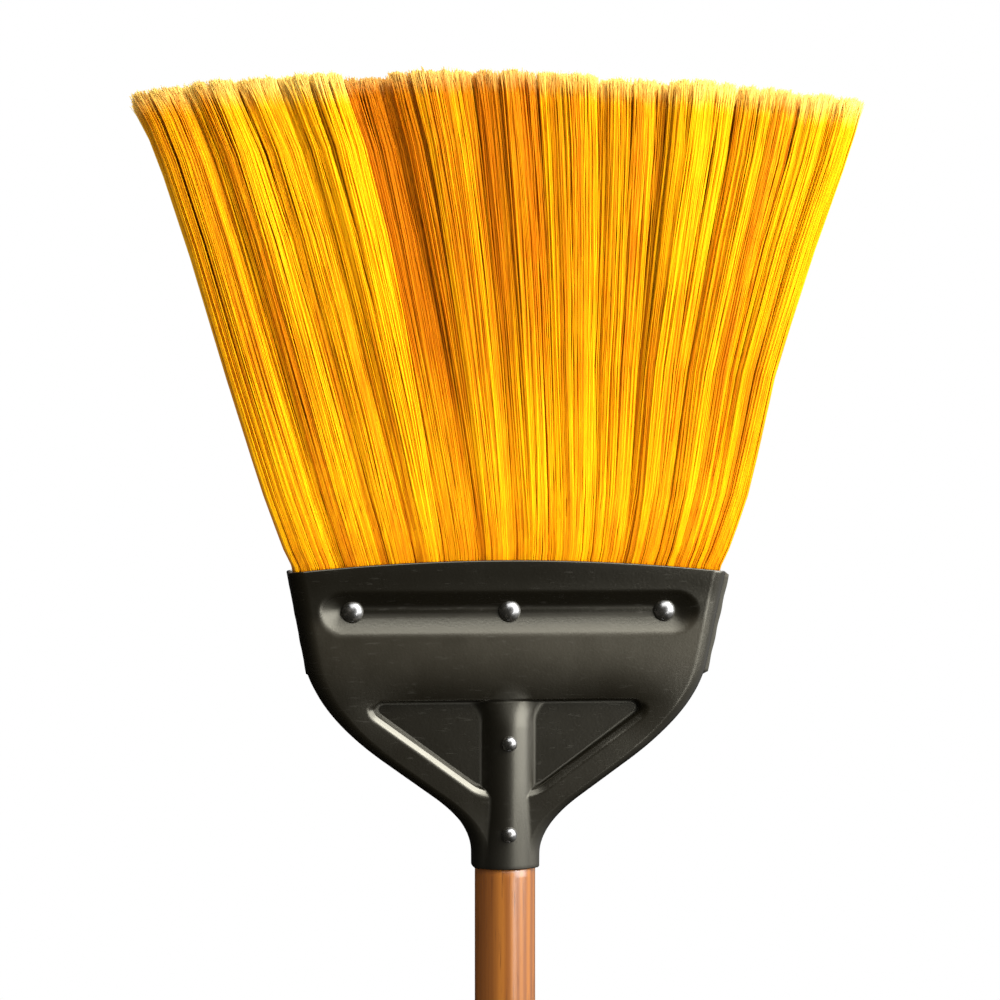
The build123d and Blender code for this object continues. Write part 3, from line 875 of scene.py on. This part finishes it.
def soft_light(name, place, size, power):
    """A rectangular lamp, in metres and watts, that faces the middle of the head."""
    lamp = bpy.data.lights.new(name, "AREA")
    lamp.shape = "RECTANGLE"
    lamp.size, lamp.size_y = size
    lamp.energy = power
    stand = add(name, lamp)
    stand.location = place
    stand.rotation_euler = (HEAD_MIDDLE - Vector(place)).to_track_quat("-Z", "Y").to_euler()


turn = np.radians([0, 30, 60, 90])
edge_radii = FLOOR_RADIUS + FLOOR_EDGE * np.cos(turn) - FLOOR_EDGE
edge_heights = FLOOR_EDGE * np.sin(turn) - FLOOR_EDGE - FLOOR_GAP
disc_radii = np.concatenate([[2.0, FLOOR_RADIUS], edge_radii, [100.0, 2.0]])
disc_heights = np.concatenate([[-FLOOR_THICKNESS] * 2, edge_heights, [-FLOOR_GAP] * 2])
floor = skin("floor", turned(disc_radii, disc_heights, 180), ring=True, ends=True)
pale_floor().coat(floor)

soft_light("key", (0.97, -0.81, 2.29), (0.9, 0.9), 25.0)
soft_light("side", (0.88, -0.65, 1.43), (1.0, 0.8), 16.0)
soft_light("top", (0.30, -0.91, 2.19), (1.3, 0.85), 15.0)
soft_light("back", (0.865, 0.62, 2.22), (0.9, 0.7), 14.0)
soft_light("bounce", (0.515, -0.99, 0.96), (0.2, 0.14), 0.85)

# The world shows white to the camera, lights evenly, and mirrors as a studio that is bright on the right
# and overhead and dark elsewhere, which is what draws the gleams on the black cap.
world = bpy.data.worlds.new("studio")
bpy.context.scene.world = world
studio = Finish(world, "Background")
towards = studio.node("ShaderNodeTexCoord", {}, {}, "Generated")
dot_product = {"operation": "DOT_PRODUCT"}
rightwards, overhead = (
    studio.node("ShaderNodeVectorMath", dot_product, {0: towards, 1: way}, "Value")
    for way in (BRIGHT_SIDE, BRIGHT_TOP)
)
kinds = ("Is Camera Ray", "Is Transmission Ray", "Is Glossy Ray")
seen, through, glossy = (studio.node("ShaderNodeLightPath", {}, {}, kind) for kind in kinds)
shown = seen + through
mirrored = rightwards.ramp(0.05, 1.0) + overhead.ramp(0.5, 1.2) * 0.5
level = glossy * mirrored + (1.0 - glossy) * 0.6
studio.plug(studio.shader, {"Color": (1, 1, 1, 1), "Strength": shown + (1.0 - shown) * level})

lens = bpy.data.cameras.new("camera")
lens.lens = CAMERA_LENS
camera = add("camera", lens)
facing = Vector((np.sin(CAMERA_TURN), np.cos(CAMERA_TURN), 0))
aside = Vector((facing.y, -facing.x, 0)) * CAMERA_ASIDE
camera.location = HEAD_MIDDLE - aside - facing * (SEEN_WIDTH * CAMERA_LENS / lens.sensor_width)
camera.rotation_euler = (np.pi / 2, 0, -CAMERA_TURN)
bpy.context.scene.camera = camera
bpy.context.scene.view_settings.view_transform = "Standard"
